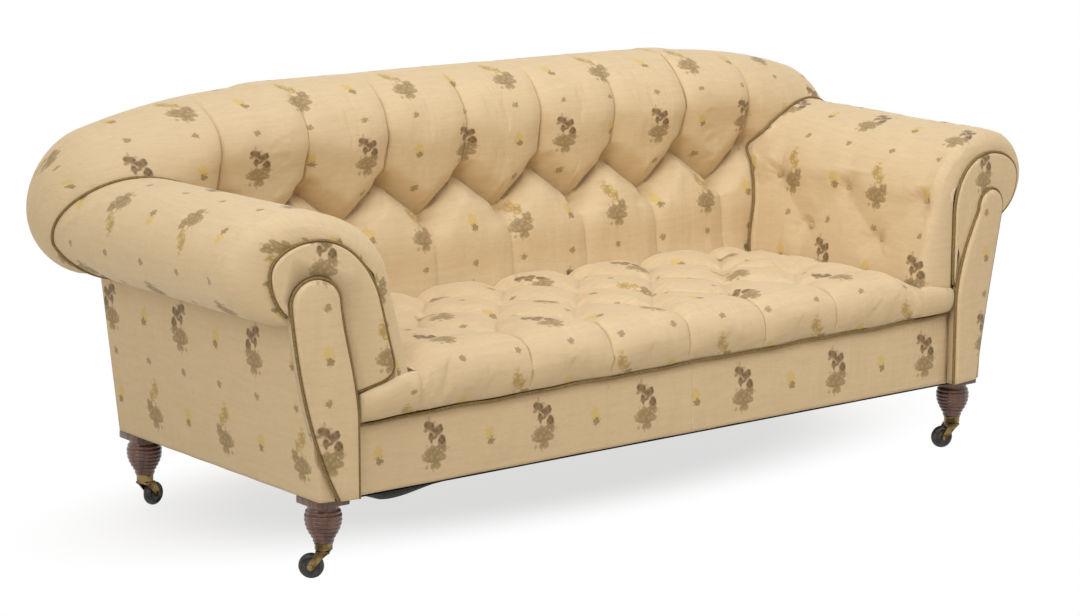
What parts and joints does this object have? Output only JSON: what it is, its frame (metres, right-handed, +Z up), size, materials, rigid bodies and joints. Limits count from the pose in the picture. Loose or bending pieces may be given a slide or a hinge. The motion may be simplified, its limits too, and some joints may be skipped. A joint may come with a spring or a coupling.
{
  "type": "chesterfield sofa",
  "caption": "Buttoned sofa with a rolled back, lower scrolled arms and a fixed sprung seat in sprigged cloth with dark piping, on short turned legs with castors.",
  "frame": {"origin": "on the floor, under the middle of the whole sofa", "axes": "+X to the right as seen from the front, along the sofa; +Y to the back; +Z up"},
  "size_m": [1.917, 0.8307, 0.7678],
  "materials": {
    "floral_cloth": "cream furnishing cloth with small sprigs",
    "olive_piping": "dark olive brown covered cord",
    "beech_frame": "bare hardwood",
    "mahogany_leg": "polished dark hardwood",
    "brass_castor": "aged brass",
    "castor_wheel": "dark turned hardwood",
    "jute_webbing": "woven jute",
    "spring_steel": "bare wire",
    "black_linen": "thin black cloth"
  },
  "bodies": {
    "sofa": {"back_left_castor_cup": "brass_castor", "back_left_leg": "mahogany_leg", "back_pad": "floral_cloth", "back_right_castor_cup": "brass_castor", "back_right_leg": "mahogany_leg", "back_seat_rail": "beech_frame", "back_springs": "spring_steel", "back_stay_rail": "beech_frame", "back_strut": "beech_frame", "back_top_rail": "beech_frame", "dust_cover": "black_linen", "front_border": "floral_cloth", "front_left_castor_cup": "brass_castor", "front_left_leg": "mahogany_leg", "front_right_castor_cup": "brass_castor", "front_right_leg": "mahogany_leg", "front_seat_rail": "beech_frame", "front_springs": "spring_steel", "left_arm_facing": "floral_cloth", "left_arm_pad": "floral_cloth", "left_arm_rail": "beech_frame", "left_arm_stay_rail": "beech_frame", "left_back_post": "beech_frame", "left_facing_cord": "olive_piping", "left_front_panel": "floral_cloth", "left_front_post": "beech_frame", "left_outside_arm": "floral_cloth", "left_panel_cord": "olive_piping", "left_seat_rail": "beech_frame", "middle_springs": "spring_steel", "outside_back": "floral_cloth", "right_arm_facing": "floral_cloth", "right_arm_pad": "floral_cloth", "right_arm_rail": "beech_frame", "right_arm_stay_rail": "beech_frame", "right_back_post": "beech_frame", "right_facing_cord": "olive_piping", "right_front_panel": "floral_cloth", "right_front_post": "beech_frame", "right_outside_arm": "floral_cloth", "right_panel_cord": "olive_piping", "right_seat_rail": "beech_frame", "seat_cord": "olive_piping", "seat_cross_rail": "beech_frame", "seat_pad": "floral_cloth", "seat_webbing": "jute_webbing", "spring_canvas": "jute_webbing"},
    "front_left_swivel": {"front_left_castor_fork": "brass_castor", "front_left_castor_axle": "brass_castor"},
    "front_left_wheel": {"front_left_castor_wheel": "castor_wheel"},
    "front_right_swivel": {"front_right_castor_fork": "brass_castor", "front_right_castor_axle": "brass_castor"},
    "front_right_wheel": {"front_right_castor_wheel": "castor_wheel"},
    "back_left_swivel": {"back_left_castor_fork": "brass_castor", "back_left_castor_axle": "brass_castor"},
    "back_left_wheel": {"back_left_castor_wheel": "castor_wheel"},
    "back_right_swivel": {"back_right_castor_fork": "brass_castor", "back_right_castor_axle": "brass_castor"},
    "back_right_wheel": {"back_right_castor_wheel": "castor_wheel"}
  },
  "joints": [
    {"name": "front_left_castor_turn", "type": "hinge", "parent": "sofa", "child": "front_left_swivel", "pos_m": [-0.766, -0.3445, 0.05], "axis": [0, 0, 1], "continuous": true},
    {"name": "front_left_wheel_roll", "type": "hinge", "parent": "front_left_swivel", "child": "front_left_wheel", "pos_m": [-0.78235, -0.32978, 0.0225], "axis": [-0.6691, -0.7431, 0], "continuous": true},
    {"name": "front_right_castor_turn", "type": "hinge", "parent": "sofa", "child": "front_right_swivel", "pos_m": [0.766, -0.3445, 0.05], "axis": [0, 0, 1], "continuous": true},
    {"name": "front_right_wheel_roll", "type": "hinge", "parent": "front_right_swivel", "child": "front_right_wheel", "pos_m": [0.74508, -0.3377, 0.0225], "axis": [-0.309, -0.9511, 0], "continuous": true},
    {"name": "back_left_castor_turn", "type": "hinge", "parent": "sofa", "child": "back_left_swivel", "pos_m": [-0.766, 0.2535, 0.05], "axis": [0, 0, 1], "continuous": true},
    {"name": "back_left_wheel_roll", "type": "hinge", "parent": "back_left_swivel", "child": "back_left_wheel", "pos_m": [-0.74508, 0.2603, 0.0225], "axis": [-0.309, 0.9511, 0], "continuous": true},
    {"name": "back_right_castor_turn", "type": "hinge", "parent": "sofa", "child": "back_right_swivel", "pos_m": [0.766, 0.2535, 0.05], "axis": [0, 0, 1], "continuous": true},
    {"name": "back_right_wheel_roll", "type": "hinge", "parent": "back_right_swivel", "child": "back_right_wheel", "pos_m": [0.78285, 0.26764, 0.0225], "axis": [-0.6428, 0.766, 0], "continuous": true}
  ]
}
